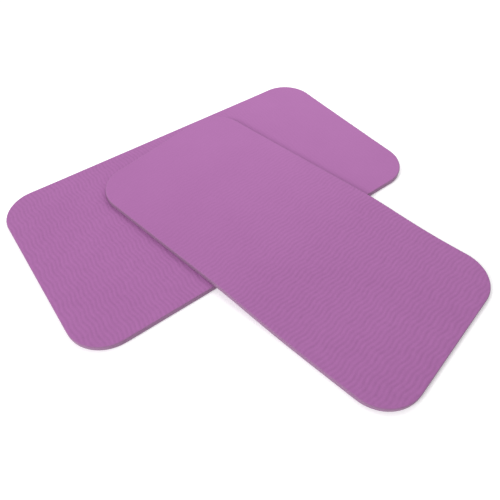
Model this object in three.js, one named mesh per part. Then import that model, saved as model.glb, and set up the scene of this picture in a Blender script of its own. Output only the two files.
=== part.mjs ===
// A pair of kneeling pads: two slabs of closed-cell foam, one laid crosswise on the other.
// The lower pad lies flat on the ground.  The upper pad lies flat where it is on the lower one,
// and its free end bends down under its own weight until it lies on the ground as well.
// Millimetres, +Z up.  The origin is on the ground, under the middle of the lower pad, and the
// lower pad's length runs along X.

import * as THREE from "three";

// driving dimensions
const LOWER = { length: 600, width: 330 };
const UPPER = { length: 566, width: 285 };
const THICKNESS = 8; // of the foam sheet that both pads are cut from
const CORNER_RADIUS = 55; // seen from above
const REST_GAP = 0.3; // air left between the pads, so that the two solids don't quite touch

// how the upper pad lies on the lower one
const UPPER_CENTRE = new THREE.Vector2(32.4, -141.9);
const UPPER_TURN = THREE.MathUtils.degToRad(-78.7); // from the lower pad's length
const BEND_LENGTH = 165; // from the lower pad's edge to where the upper pad touches the ground

const CORNER_STEPS = 12; // flats in a quarter of a circle
const BEND_STEPS = 12;
const LEAST_STATION_STEP = 0.5; // sections of the bent slab that lie closer than this are one

const FOAM = new THREE.MeshStandardMaterial({ color: 0xae6fac, roughness: 0.75, metalness: 0 });

/** The outline of a pad, anticlockwise: a rectangle with quarter-circle corners. */
function padOutline({ length, width }) {
  const x = length / 2 - CORNER_RADIUS;
  const y = width / 2 - CORNER_RADIUS;
  const corners = [
    [x, y],
    [-x, y],
    [-x, -y],
    [x, -y],
  ];
  return corners.flatMap(([centreX, centreY], quarter) =>
    Array.from({ length: CORNER_STEPS + 1 }, (_, i) => {
      const angle = ((quarter + i / CORNER_STEPS) * Math.PI) / 2;
      return new THREE.Vector2(
        centreX + CORNER_RADIUS * Math.cos(angle),
        centreY + CORNER_RADIUS * Math.sin(angle),
      );
    }),
  );
}

/** The lower pad: a flat slab with square edges. */
function makeLowerPad() {
  const slab = new THREE.ExtrudeGeometry(new THREE.Shape(padOutline(LOWER)), {
    depth: THICKNESS,
    bevelEnabled: false,
  });
  const pad = new THREE.Mesh(slab, FOAM);
  pad.name = "lower_pad";
  return pad;
}

/** Height of the upper pad's underside at a distance past the lower pad's long edge. */
function undersideHeight(pastEdge) {
  const left = THREE.MathUtils.clamp(1 - pastEdge / BEND_LENGTH, 0, 1);
  // an elastic strip let down on to flat ground: level at the edge, tangent at touchdown
  const fall = 4 * left ** 3 - 3 * left ** 4;
  return (THICKNESS + REST_GAP) * fall;
}

/** Where a line of constant y crosses a convex outline: the lowest and the highest x. */
function crossings(outline, y) {
  const xs = outline.flatMap((from, i) => {
    const to = outline[(i + 1) % outline.length];
    if (from.y === to.y) {
      return from.y === y ? [from.x, to.x] : [];
    }
    const along = (y - from.y) / (to.y - from.y);
    return along >= 0 && along <= 1 ? [from.x + along * (to.x - from.x)] : [];
  });
  return [Math.min(...xs), Math.max(...xs)];
}

/** A closed body through four-cornered sections, each with its corners in the same order. */
function loft(sections) {
  const positions = [];
  const addQuad = (...corners) => {
    for (const k of [0, 1, 2, 0, 2, 3]) {
      positions.push(...corners[k].toArray());
    }
  };
  for (let s = 0; s + 1 < sections.length; s += 1) {
    for (let k = 0; k < 4; k += 1) {
      const next = (k + 1) % 4;
      addQuad(sections[s][k], sections[s][next], sections[s + 1][next], sections[s + 1][k]);
    }
  }
  addQuad(...[...sections[0]].reverse());
  addQuad(...sections[sections.length - 1]);
  const body = new THREE.BufferGeometry();
  body.setAttribute("position", new THREE.Float32BufferAttribute(positions, 3));
  body.computeVertexNormals();
  return body;
}

/**
 * The upper pad: a slab turned into place and bent about lines parallel to the lower pad's long
 * edge.  Its sections are cut along those lines.
 */
function makeUpperPad() {
  const outline = padOutline(UPPER).map((point) =>
    point.rotateAround(new THREE.Vector2(), UPPER_TURN).add(UPPER_CENTRE),
  );
  const edgeY = -LOWER.width / 2; // the lower pad's long edge, where the bend begins
  const bendYs = Array.from(
    { length: BEND_STEPS + 1 },
    (_, i) => edgeY - (i / BEND_STEPS) * BEND_LENGTH,
  );
  const stations = [...outline.map((point) => point.y), ...bendYs]
    .sort((a, b) => b - a)
    .filter((y, i, all) => i === 0 || all[i - 1] - y > LEAST_STATION_STEP);
  const sections = stations.map((y) => {
    const [low, high] = crossings(outline, y);
    const under = undersideHeight(edgeY - y);
    return [
      new THREE.Vector3(low, y, under),
      new THREE.Vector3(high, y, under),
      new THREE.Vector3(high, y, under + THICKNESS),
      new THREE.Vector3(low, y, under + THICKNESS),
    ];
  });
  const pad = new THREE.Mesh(loft(sections), FOAM);
  pad.name = "upper_pad";
  return pad;
}

const kneelingPads = new THREE.Group();
kneelingPads.add(makeLowerPad(), makeUpperPad());

export default kneelingPads;
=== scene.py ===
"""A pair of kneeling pads in mauve closed-cell foam, one laid crosswise on the other.

Both are cut from 8 mm foam sheet with a shallow wavy rib embossed across each face.
Metres, +Z up; the lower pad's middle is over the origin and its length runs along X.
"""

import math

import bpy
import numpy as np
from mathutils import Matrix, Vector


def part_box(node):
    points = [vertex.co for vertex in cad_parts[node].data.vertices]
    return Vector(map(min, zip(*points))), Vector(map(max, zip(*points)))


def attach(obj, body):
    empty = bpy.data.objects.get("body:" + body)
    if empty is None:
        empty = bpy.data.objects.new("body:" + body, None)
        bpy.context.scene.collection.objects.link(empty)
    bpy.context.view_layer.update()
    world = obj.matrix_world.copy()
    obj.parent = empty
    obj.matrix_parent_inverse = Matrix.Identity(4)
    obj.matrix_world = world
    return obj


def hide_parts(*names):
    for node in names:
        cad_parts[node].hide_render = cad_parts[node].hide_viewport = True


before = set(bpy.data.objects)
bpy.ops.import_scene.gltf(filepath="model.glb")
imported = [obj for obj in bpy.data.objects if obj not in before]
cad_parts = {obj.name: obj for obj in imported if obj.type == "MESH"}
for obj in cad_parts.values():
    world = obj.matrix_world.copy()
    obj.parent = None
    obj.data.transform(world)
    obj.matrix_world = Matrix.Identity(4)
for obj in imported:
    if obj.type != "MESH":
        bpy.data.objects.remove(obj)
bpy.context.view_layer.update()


# ---------------------------------------------------------------------------------------------
# Studio: a table of white opal glass that glows a little from below, in a white tent.  One large
# softbox far off on the left fills the pads' front walls, and one behind them, on the right, makes
# the light fall off towards the front.  The camera stands at the front left and looks down.

MM = 0.001


def linear(hex_colour):
    """The linear colour, with alpha 1, of an sRGB one written as 'rrggbb'."""
    parts = [int(hex_colour[i:i + 2], 16) / 255 for i in (0, 2, 4)]
    return [p / 12.92 if p <= 0.04045 else ((p + 0.055) / 1.055) ** 2.4 for p in parts] + [1.0]


def add_node(tree, kind, inputs=None, **settings):
    """Adds a shader node. Each input is given a value, or a socket that is linked to it."""
    made = tree.nodes.new("ShaderNode" + kind)
    for name, value in settings.items():
        setattr(made, name, value)
    for socket, value in (inputs or {}).items():
        if isinstance(value, bpy.types.NodeSocket):
            tree.links.new(value, made.inputs[socket])
        else:
            made.inputs[socket].default_value = value
    return made


def new_material(name):
    """An empty material: (material, its node tree, its Principled shader)."""
    material = bpy.data.materials.new(name)
    material.use_nodes = True
    tree = material.node_tree
    tree.nodes.clear()
    shader = add_node(tree, "BsdfPrincipled")
    add_node(tree, "OutputMaterial", {"Surface": shader.outputs["BSDF"]})
    return material, tree, shader


def place_by_angle(thing, aim, azimuth, elevation, distance):
    """Puts a light or camera at a distance from aim, and points it there."""
    turn = math.radians(azimuth)
    rise = math.radians(elevation)
    away = Vector((-math.sin(turn) * math.cos(rise), -math.cos(turn) * math.cos(rise),
                   math.sin(rise)))
    thing.location = aim + away * distance
    thing.rotation_euler = (-away).to_track_quat("-Z", "Y").to_euler()
    bpy.context.scene.collection.objects.link(thing)


AIM = Vector((-0.0274, -0.1382, 0.0))
VIEW_AZIMUTH = 36.7
VIEW_ELEVATION = 51.5
VIEW_DISTANCE = 0.683

lens = bpy.data.cameras.new("studio_camera")
lens.sensor_width = 36.0  # mm, as is the focal length
lens.lens = 33.2
camera = bpy.data.objects.new("studio_camera", lens)
place_by_angle(camera, AIM, VIEW_AZIMUTH, VIEW_ELEVATION, VIEW_DISTANCE)
bpy.context.scene.camera = camera

# frosted opal glass: a plain white without a highlight, lit through from below, so that shadows
# on it are next to nothing
opal, tree, shader = new_material("white_opal_glass_frosted")
shader.inputs["Base Color"].default_value = linear("fafafa")
shader.inputs["Roughness"].default_value = 0.9
shader.inputs["Specular IOR Level"].default_value = 0.1
shader.inputs["Emission Color"].default_value = linear("ffffff")
shader.inputs["Emission Strength"].default_value = 0.2

TABLE_HALF = 4.0        # from the middle of the table to its edge
TABLE_DROP = 0.3 * MM   # the ribs of the undersides stay clear of the glass
table_mesh = bpy.data.meshes.new("light_table")
table_corners = [(-1, -1), (1, -1), (1, 1), (-1, 1)]
table_mesh.from_pydata([(TABLE_HALF * x, TABLE_HALF * y, -TABLE_DROP) for x, y in table_corners],
                       [], [(0, 1, 2, 3)])
table = bpy.data.objects.new("light_table", table_mesh)
table_mesh.materials.append(opal)
bpy.context.scene.collection.objects.link(table)

world = bpy.data.worlds.new("white_tent")
world.use_nodes = True
world.node_tree.nodes["Background"].inputs["Color"].default_value = (1.0, 1.0, 1.0, 1.0)
world.node_tree.nodes["Background"].inputs["Strength"].default_value = 0.47
bpy.context.scene.world = world


def add_softbox(name, size, watts, azimuth, elevation, distance):
    """A square softbox that faces the middle of the pads."""
    softbox = bpy.data.lights.new(name, "AREA")
    softbox.shape = "SQUARE"
    softbox.size = size
    softbox.energy = watts
    place_by_angle(bpy.data.objects.new(name, softbox), AIM, azimuth, elevation, distance)


add_softbox("back_softbox", size=1.0, watts=6.8, azimuth=228, elevation=55, distance=1.1)
add_softbox("left_softbox", size=1.2, watts=54.0, azimuth=90, elevation=34, distance=3.0)

bpy.context.scene.view_settings.view_transform = "Standard"


# ---------------------------------------------------------------------------------------------
# Lower pad: one slab of closed-cell nitrile foam, 8 mm thick.  The sheet is foamed, embossed
# between hot rollers, which leaves a thin matt skin, and die-cut, which bares the cells in the
# side wall.  It lies flat on the ground.

lower_low, lower_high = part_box("lower_pad")
THICKNESS = lower_high.z - lower_low.z
CORNER = 55 * MM        # radius of the pad's corners, seen from above
ARRIS = 1.7 * MM        # the die draws the upper edge over to this radius
LOWER_ARRIS = 0.2 * MM  # and leaves the lower edge nearly sharp
WALL_DISH = 0.25 * MM   # the die leaves the side wall slightly hollow
RIB_PITCH = 6.1 * MM
RIB_DEPTH = 0.3 * MM
RIB_SHARPNESS = 1.4     # above 1, the grooves are narrower than the crests
WANDER = 1.3 * MM       # each rib wanders to and fro by this much
WANDER_LENGTH = 32.5 * MM
CORNER_LIFT = 0.7 * MM  # the corners curl up a little
SHALLOW_END = 0.15      # the roller pressed one end less deep: its share of the full depth
FADE_RATE = 1.4         # full depth is reached at 1/1.4 of the length from the shallow end

COLUMNS_PER_RIB = 5     # of the mesh; its rows cross the ribs
ROW_STEP = 3.7 * MM
CORNER_ROWS = 18


def wave(along, along_length, across, across_length, shift=0.0):
    """A plane wave on a pad's face, given by its lengths in mm along the pad and across it."""
    return np.sin(2 * np.pi * (across / (across_length * MM) + along / (along_length * MM)) + shift)


def rib_wander(along, across, skew):
    """How far a rib has wandered along the pad, at a place across the pad."""
    swing = 1.2 * np.sin(2 * np.pi * along / (175 * MM))
    main = np.sin(2 * np.pi * across / WANDER_LENGTH + swing)
    slow = 0.4 * wave(along, 260, across, 83)
    return WANDER * (main + slow) + skew * across


def rib_level(along, across, depth_share, phase=0.0):
    """Height of the embossed face against its crests: 0 on a crest, and at most -1 in a groove,
    since the roller pressed small patches and large blotches less deep."""
    groove = 0.5 + 0.5 * np.cos(2 * np.pi * (along / RIB_PITCH + phase))
    patch = wave(along, 47, across, 19) * wave(along, -23, across, 29)
    blotch = wave(along, -83, across, 61, shift=2 * patch)
    pressed = 0.7 + 0.2 * patch + 0.1 * blotch
    return -depth_share * pressed * groove ** RIB_SHARPNESS


def half_length(across, length, width):
    """Half the length of a pad's face, inside its eased edge, at a place across it."""
    radius = CORNER - ARRIS
    into_corner = np.clip(np.abs(across) - (width / 2 - CORNER), 0, radius)
    return length / 2 - CORNER + np.sqrt(radius ** 2 - into_corner ** 2)


def smooth_step(value):
    """From 0 to 1 with a level start and end, as the value goes from 0 to 1."""
    value = np.clip(value, 0, 1)
    return value * value * (3 - 2 * value)


def corner_lift(x, y, length, width):
    """How far the pad has curled up at a place near a corner."""
    out_x = smooth_step((np.abs(x) - (length / 2 - 2 * CORNER)) / (2 * CORNER))
    out_y = smooth_step((np.abs(y) - (width / 2 - 2 * CORNER)) / (2 * CORNER))
    return CORNER_LIFT * out_x * out_y


def foam_slab(name, length, width, rib_skew, deep_end, place):
    """A pad as one closed mesh. place turns points of the flat pad into points of the frame.
    deep_end is 1 where the ribs are deepest at the end of highest x, and -1 at the other."""
    straight = width / 2 - CORNER
    row_count = round(2 * straight / ROW_STEP)
    arc = (CORNER - ARRIS) * np.sin(np.linspace(0, np.pi / 2, CORNER_ROWS + 1)[1:])
    rows = np.concatenate([-straight - arc[::-1], np.linspace(-straight, straight, row_count + 1),
                           straight + arc])
    step = RIB_PITCH / COLUMNS_PER_RIB
    past_end = 2 * WANDER + abs(rib_skew) * width / 2
    column_count = math.ceil((length / 2 + past_end) / step)
    columns = np.arange(-column_count, column_count + 1) * step
    least_gap = 0.4 * step  # a column that ends closer to the rim than this is left out

    # the face: each row runs from end to end, on the columns that follow the ribs
    flat, along, grid = [], [], []
    for y in rows:
        end = half_length(y, length, width)
        xs = columns + rib_wander(columns, y, rib_skew)
        inside = np.flatnonzero(np.abs(xs) < end - least_gap)
        first = len(flat)
        left, right = first, first + len(inside) + 1
        flat += [(-end, y)] + [(xs[i], y) for i in inside] + [(end, y)]
        along += [-end - rib_wander(-end, y, rib_skew), *columns[inside],
                  end - rib_wander(end, y, rib_skew)]
        index = np.full(len(columns), left)
        index[xs > 0] = right
        index[inside] = first + 1 + np.arange(len(inside))
        grid.append(index)
    flat = np.array(flat)
    along = np.array(along)
    count = len(flat)

    faces = []
    for here, above in zip(grid, grid[1:]):
        for i in range(len(columns) - 1):
            corners = list(dict.fromkeys((here[i], here[i + 1], above[i + 1], above[i])))
            if len(corners) > 2:
                faces.append(corners)
    under_faces = [[i + count for i in reversed(face)] for face in faces]

    # the rim of the face, anticlockwise, and the way out from it
    ends = [(g[0], g[-1]) for g in grid]
    rim = [*dict.fromkeys(grid[0]), *[right for _, right in ends[1:-1]],
           *reversed(list(dict.fromkeys(grid[-1]))), *[left for left, _ in reversed(ends[1:-1])]]
    rim_at = flat[rim]
    reach = np.array([length / 2 - CORNER, straight])
    outward = rim_at - np.clip(rim_at, -reach, reach)
    outward /= np.linalg.norm(outward, axis=1)[:, None]

    toward_deep = 0.5 + deep_end * flat[:, 0] / length
    depth_share = SHALLOW_END + (1 - SHALLOW_END) * smooth_step(FADE_RATE * toward_deep)
    top_level = RIB_DEPTH * rib_level(along, flat[:, 1], depth_share)
    under_level = -RIB_DEPTH * rib_level(along, flat[:, 1], depth_share, 0.5)
    points = [np.column_stack([flat, THICKNESS + top_level]), np.column_stack([flat, under_level])]
    wall = [np.zeros(2 * count)]
    pressing = [depth_share, depth_share]
    level = [1 + top_level / RIB_DEPTH, 1 - under_level / RIB_DEPTH]

    # the side wall, ring by ring from the top face to the underside.  Each ring has its way out
    # from the rim, its height, its share of the ribs above and below, and how bare its cells are
    bottom_out = ARRIS - LOWER_ARRIS
    rings = [(ARRIS * math.sin(a), THICKNESS - ARRIS * (1 - math.cos(a)), math.cos(a), 0,
              math.sin(a)) for a in np.radians([30, 60, 90])]
    rings += [(ARRIS - WALL_DISH, THICKNESS / 2, 0, 0, 1.0)]
    rings += [(bottom_out + LOWER_ARRIS * math.sin(a), LOWER_ARRIS * (1 - math.cos(a)), 0,
               math.cos(a), math.sin(a)) for a in np.radians([90, 45, 0])]
    ring_ids = [np.array(rim)]
    at = 2 * count
    for out, height, top_share, under_share, bared in rings:
        relief = top_share * top_level[rim] + under_share * under_level[rim]
        points.append(np.column_stack([rim_at + out * outward, height + relief]))
        wall.append(np.full(len(rim), bared))
        pressing.append(depth_share[rim])
        level.append(np.ones(len(rim)))
        ring_ids.append(at + np.arange(len(rim)))
        at += len(rim)
    ring_ids.append(np.array(rim) + count)
    for upper, lower in zip(ring_ids, ring_ids[1:]):
        turned_upper, turned_lower = np.roll(upper, -1), np.roll(lower, -1)
        faces += np.column_stack([upper, lower, turned_lower, turned_upper]).tolist()

    points = np.concatenate(points)
    points[:, 2] += corner_lift(points[:, 0], points[:, 1], length, width)
    mesh = bpy.data.meshes.new(name)
    mesh.from_pydata(place(points).tolist(), [], faces + under_faces)
    mesh.shade_smooth()
    for attribute, values in (("cut_wall", wall), ("rib_level", level), ("pressing", pressing)):
        layer = mesh.attributes.new(attribute, "FLOAT", "POINT")
        layer.data.foreach_set("value", np.concatenate(values).astype(np.float32))
    slab = bpy.data.objects.new(name, mesh)
    bpy.context.scene.collection.objects.link(slab)
    return slab


CLOUD = 90 * MM     # the foaming clouds the colour over this distance
MOTTLE = 5.5 * MM   # the roller mottles it over this one
SPECK = 1.6 * MM    # and single cells under the skin speck it
GRAIN = 0.8 * MM    # of the skin; the real one is finer, and this is as coarse as it needs to show
CELL = 0.9 * MM     # of the foam; the real ones are a few tenths of this, and too fine to show
GRAIN_HEIGHT = 0.12 * MM
CELL_HEIGHT = 0.3 * MM


def embossed_foam(name):
    """Nitrile foam with an embossed skin: soft and matt, with a faint bloom where it curves away,
    and a duller, greyer, pitted look where the die has bared its cells, there darkened further with
    painted shade, as are the grooves of the skin."""
    material, tree, shader = new_material(name)
    place = add_node(tree, "TexCoord").outputs["Object"]
    wall = add_node(tree, "Attribute", attribute_name="cut_wall").outputs["Fac"]
    rib = add_node(tree, "Attribute", attribute_name="rib_level").outputs["Fac"]
    pressing = add_node(tree, "Attribute", attribute_name="pressing").outputs["Fac"]

    # colour of the skin: clouded a very little, finely specked
    cloud = add_node(tree, "TexNoise", {"Vector": place, "Scale": 1 / CLOUD, "Detail": 2.0})
    skin = add_node(tree, "ValToRGB", {"Fac": cloud.outputs["Fac"]})
    skin.color_ramp.elements[0].position = 0.3
    skin.color_ramp.elements[0].color = linear("a1619d")
    skin.color_ramp.elements[1].position = 0.7
    skin.color_ramp.elements[1].color = linear("a3639f")
    speck = add_node(tree, "TexNoise", {"Vector": place, "Scale": 1 / SPECK, "Detail": 2.0})
    specked = add_node(tree, "Mix", {0: 0.08, 6: skin.outputs["Color"], 7: speck.outputs["Fac"]},
                       data_type="RGBA", blend_type="OVERLAY")

    # a leathery mottle where the roller pressed hard, and painted shade that darkens the grooves
    patches = add_node(tree, "TexNoise", {"Vector": place, "Scale": 1 / MOTTLE, "Detail": 2.0})
    mottle = add_node(tree, "MapRange", {"Value": patches.outputs["Fac"], "To Min": 0.93,
                                         "To Max": 1.07})
    mottled = add_node(tree, "Mix", {0: pressing, 6: specked.outputs[2],
                                     7: mottle.outputs["Result"]},
                       data_type="RGBA", blend_type="MULTIPLY")
    # painted shade in the grooves: the colour is darkened down to 0.86 at the bottom of each groove
    groove = add_node(tree, "MapRange", {"Value": rib, "To Min": 0.86, "To Max": 1.0})
    groove_shaded = add_node(tree, "Mix", {0: 1.0, 6: mottled.outputs[2], 7: groove.outputs["Result"]},
                      data_type="RGBA", blend_type="MULTIPLY")

    # colour of the cut wall: bared cells, greyer than the skin and darkened with painted shade,
    # each dark in its middle (painted shade in its pit) and lighter towards its rim
    cells = add_node(tree, "TexVoronoi", {"Vector": place, "Scale": 1 / CELL})
    bared = add_node(tree, "ValToRGB", {"Fac": cells.outputs["Distance"]})
    # these colours of the bared cells are partly their own greyer tone and partly painted shade on
    # the side wall
    bared.color_ramp.elements[0].color = linear("825c7d")
    bared.color_ramp.elements[1].color = linear("976b92")
    bared.color_ramp.elements[1].position = 0.7
    colour = add_node(tree, "Mix", {0: wall, 6: groove_shaded.outputs[2], 7: bared.outputs["Color"]},
                      data_type="RGBA")
    tree.links.new(colour.outputs[2], shader.inputs["Base Color"])

    # finish: matt, with a faint soft sheen
    rough = add_node(tree, "MapRange", {"Value": speck.outputs["Fac"], "To Min": 0.66,
                                        "To Max": 0.8})
    tree.links.new(rough.outputs["Result"], shader.inputs["Roughness"])
    shader.inputs["IOR"].default_value = 1.45
    shader.inputs["Specular IOR Level"].default_value = 0.4
    shader.inputs["Sheen Weight"].default_value = 0.12
    shader.inputs["Sheen Roughness"].default_value = 0.5

    # relief: grain of the skin, and pits of the cells on the cut wall
    grain = add_node(tree, "TexNoise", {"Vector": place, "Scale": 1 / GRAIN, "Detail": 3.0})
    skin_bump = add_node(tree, "Bump", {"Height": grain.outputs["Fac"], "Strength": 0.35,
                                        "Distance": GRAIN_HEIGHT})
    pits = add_node(tree, "Math", {0: cells.outputs["Distance"], 1: wall}, operation="MULTIPLY")
    cell_bump = add_node(tree, "Bump", {"Height": pits.outputs[0], "Strength": 0.6,
                                        "Distance": CELL_HEIGHT,
                                        "Normal": skin_bump.outputs["Normal"]})
    tree.links.new(cell_bump.outputs["Normal"], shader.inputs["Normal"])
    return material


def lay_flat(points):
    """Stands the flat pad on the ground, where it is."""
    return points + np.array([0, 0, lower_low.z])


foam = embossed_foam("mauve_nitrile_foam_embossed")
lower = foam_slab("lower_foam_pad", lower_high.x - lower_low.x, lower_high.y - lower_low.y,
                  rib_skew=0.0, deep_end=-1, place=lay_flat)
lower.data.materials.append(foam)
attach(lower, "lower_pad")
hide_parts("lower_pad")


# ---------------------------------------------------------------------------------------------
# Upper pad: a slab of the same foam sheet, a little smaller.  It lies flat where it is on the
# lower pad; past that pad's long edge it sinks under its own weight, and lies on the ground.

upper_low, upper_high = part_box("upper_pad")
UPPER_LENGTH = 566 * MM
UPPER_WIDTH = 285 * MM
UPPER_CENTRE = np.array([32.4 * MM, -141.9 * MM])
UPPER_TURN = math.radians(-78.7)
UPPER_SKEW = 0.07       # the die sat askew on the sheet: its ribs drift by 7 mm in 100 mm
BEND_LENGTH = 165 * MM  # from the lower pad's edge to where the pad touches the ground
SETTLED = 0.2 * MM      # the soft faces meet more closely than the two solids do
RAISED = upper_high.z - THICKNESS - SETTLED  # height of the underside over the lower pad


def lay_across(points):
    """Turns the flat pad across the lower one and lets its free end down to the ground."""
    cos, sin = math.cos(UPPER_TURN), math.sin(UPPER_TURN)
    x = UPPER_CENTRE[0] + cos * points[:, 0] - sin * points[:, 1]
    y = UPPER_CENTRE[1] + sin * points[:, 0] + cos * points[:, 1]
    left = np.clip(1 - (lower_low.y - y) / BEND_LENGTH, 0, 1)
    return np.column_stack([x, y, points[:, 2] + RAISED * (4 * left ** 3 - 3 * left ** 4)])


upper = foam_slab("upper_foam_pad", UPPER_LENGTH, UPPER_WIDTH,
                  rib_skew=UPPER_SKEW, deep_end=1, place=lay_across)
upper.data.materials.append(foam)
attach(upper, "upper_pad")
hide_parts("upper_pad")
